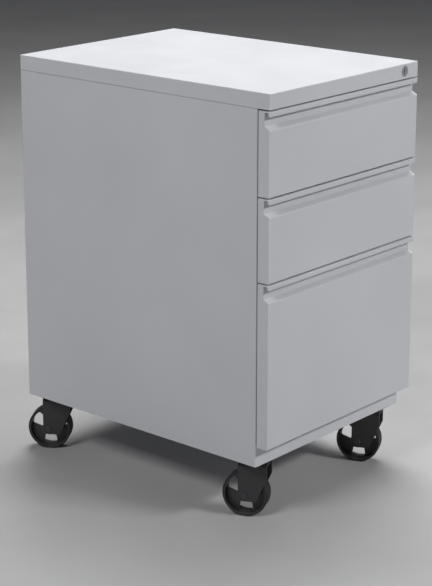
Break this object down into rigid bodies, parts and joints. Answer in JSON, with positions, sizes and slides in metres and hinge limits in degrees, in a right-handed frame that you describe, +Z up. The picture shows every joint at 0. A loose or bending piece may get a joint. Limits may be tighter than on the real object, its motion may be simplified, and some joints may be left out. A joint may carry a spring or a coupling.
{
  "type": "mobile filing cabinet",
  "caption": "Steel mobile filing cabinet on swivel casters: box drawers over a file drawer, full-width recessed pulls and a gang lock.",
  "frame": {"origin": "floor level, under the middle of the plan outline with the turned rear wheels included", "axes": "+Z up, -Y towards the drawer fronts, +X to the cabinet's right as seen from the front"},
  "size_m": [0.381, 0.5515, 0.696],
  "materials": {
    "case_paint": "light silver-grey powder coat, satin",
    "drawer_paint": "light silver-grey powder coat, satin",
    "zinc_steel": "bright zinc plate",
    "lock_nickel": "satin nickel",
    "raw_iron": "black oxide",
    "caster_paint": "charcoal powder coat, satin",
    "axle_steel": "black zinc plate",
    "wheel_centre": "charcoal nylon, satin",
    "tyre_rubber": "dark grey rubber, matt"
  },
  "bodies": {
    "cabinet": {"left_side": "case_paint", "right_side": "case_paint", "back_panel": "case_paint", "top_cap": "case_paint", "base_pan": "case_paint", "front_rail": "case_paint", "uprights": "zinc_steel", "counterweight": "raw_iron", "lock_barrel": "lock_nickel", "slide_outer_1": "zinc_steel", "slide_outer_2": "zinc_steel", "slide_outer_3": "zinc_steel", "caster_plates": "caster_paint", "caster_bearings": "caster_paint", "caster_bolts": "zinc_steel"},
    "lock_cylinder": {"lock_plug": "lock_nickel", "lock_cam": "zinc_steel"},
    "locking_bar": {"lock_bar": "zinc_steel"},
    "drawer_1": {"drawer_1_front": "drawer_paint", "drawer_1_liner": "drawer_paint", "drawer_1_sides": "drawer_paint", "drawer_1_back": "drawer_paint", "drawer_1_bottom": "drawer_paint", "drawer_1_catch": "zinc_steel", "slide_inner_1": "zinc_steel"},
    "slide_mid_1": {"slide_middle_1": "zinc_steel"},
    "drawer_2": {"drawer_2_front": "drawer_paint", "drawer_2_liner": "drawer_paint", "drawer_2_sides": "drawer_paint", "drawer_2_back": "drawer_paint", "drawer_2_bottom": "drawer_paint", "drawer_2_catch": "zinc_steel", "slide_inner_2": "zinc_steel"},
    "slide_mid_2": {"slide_middle_2": "zinc_steel"},
    "drawer_3": {"drawer_3_front": "drawer_paint", "drawer_3_liner": "drawer_paint", "drawer_3_sides": "drawer_paint", "drawer_3_back": "drawer_paint", "drawer_3_bottom": "drawer_paint", "drawer_3_catch": "zinc_steel", "slide_inner_3": "zinc_steel", "file_rails": "zinc_steel"},
    "slide_mid_3": {"slide_middle_3": "zinc_steel"},
    "swivel_fl": {"fork_fl": "caster_paint", "axle_fl": "axle_steel"},
    "roller_fl": {"wheel_fl": "wheel_centre", "tyre_fl": "tyre_rubber"},
    "swivel_fr": {"fork_fr": "caster_paint", "axle_fr": "axle_steel"},
    "roller_fr": {"wheel_fr": "wheel_centre", "tyre_fr": "tyre_rubber"},
    "swivel_rl": {"fork_rl": "caster_paint", "axle_rl": "axle_steel"},
    "roller_rl": {"wheel_rl": "wheel_centre", "tyre_rl": "tyre_rubber"},
    "swivel_rr": {"fork_rr": "caster_paint", "axle_rr": "axle_steel"},
    "roller_rr": {"wheel_rr": "wheel_centre", "tyre_rr": "tyre_rubber"}
  },
  "joints": [
    {"name": "lock_turn", "type": "hinge", "parent": "cabinet", "child": "lock_cylinder", "pos_m": [0.1535, -0.27635, 0.6835], "axis": [0, 1, 0], "range_deg": [0, 90]},
    {"name": "lock_bar_drop", "type": "slide", "parent": "cabinet", "child": "locking_bar", "axis": [0, 0, -1], "range_m": [0, 0.008]},
    {"name": "drawer_1_slide", "type": "slide", "parent": "cabinet", "child": "drawer_1", "axis": [0, -1, 0], "range_m": [0, 0.34]},
    {"name": "slide_mid_1_slide", "type": "slide", "parent": "cabinet", "child": "slide_mid_1", "axis": [0, -1, 0], "range_m": [0, 0.17]},
    {"name": "drawer_2_slide", "type": "slide", "parent": "cabinet", "child": "drawer_2", "axis": [0, -1, 0], "range_m": [0, 0.34]},
    {"name": "slide_mid_2_slide", "type": "slide", "parent": "cabinet", "child": "slide_mid_2", "axis": [0, -1, 0], "range_m": [0, 0.17]},
    {"name": "drawer_3_slide", "type": "slide", "parent": "cabinet", "child": "drawer_3", "axis": [0, -1, 0], "range_m": [0, 0.43]},
    {"name": "slide_mid_3_slide", "type": "slide", "parent": "cabinet", "child": "slide_mid_3", "axis": [0, -1, 0], "range_m": [0, 0.215]},
    {"name": "swivel_fl_turn", "type": "hinge", "parent": "cabinet", "child": "swivel_fl", "pos_m": [-0.151, -0.22035, 0.091], "axis": [0, 0, 1], "continuous": true},
    {"name": "wheel_fl_spin", "type": "hinge", "parent": "swivel_fl", "child": "roller_fl", "pos_m": [-0.1569, -0.2071, 0.0375], "axis": [0.9135, 0.4067, 0], "continuous": true},
    {"name": "swivel_fr_turn", "type": "hinge", "parent": "cabinet", "child": "swivel_fr", "pos_m": [0.151, -0.22035, 0.091], "axis": [0, 0, 1], "continuous": true},
    {"name": "wheel_fr_spin", "type": "hinge", "parent": "swivel_fr", "child": "roller_fr", "pos_m": [0.1451, -0.2071, 0.0375], "axis": [0.9135, 0.4067, 0], "continuous": true},
    {"name": "swivel_rl_turn", "type": "hinge", "parent": "cabinet", "child": "swivel_rl", "pos_m": [-0.151, 0.22565, 0.091], "axis": [0, 0, 1], "continuous": true},
    {"name": "wheel_rl_spin", "type": "hinge", "parent": "swivel_rl", "child": "roller_rl", "pos_m": [-0.1589, 0.23781, 0.0375], "axis": [0.8387, 0.5446, 0], "continuous": true},
    {"name": "swivel_rr_turn", "type": "hinge", "parent": "cabinet", "child": "swivel_rr", "pos_m": [0.151, 0.22565, 0.091], "axis": [0, 0, 1], "continuous": true},
    {"name": "wheel_rr_spin", "type": "hinge", "parent": "swivel_rr", "child": "roller_rr", "pos_m": [0.1431, 0.23781, 0.0375], "axis": [0.8387, 0.5446, 0], "continuous": true}
  ],
  "couplings": [
    {"joint": "lock_turn", "follows": "lock_bar_drop", "rad_per_m": 196.3},
    {"joint": "slide_mid_1_slide", "follows": "drawer_1_slide", "ratio": 0.5},
    {"joint": "slide_mid_2_slide", "follows": "drawer_2_slide", "ratio": 0.5},
    {"joint": "slide_mid_3_slide", "follows": "drawer_3_slide", "ratio": 0.5}
  ]
}
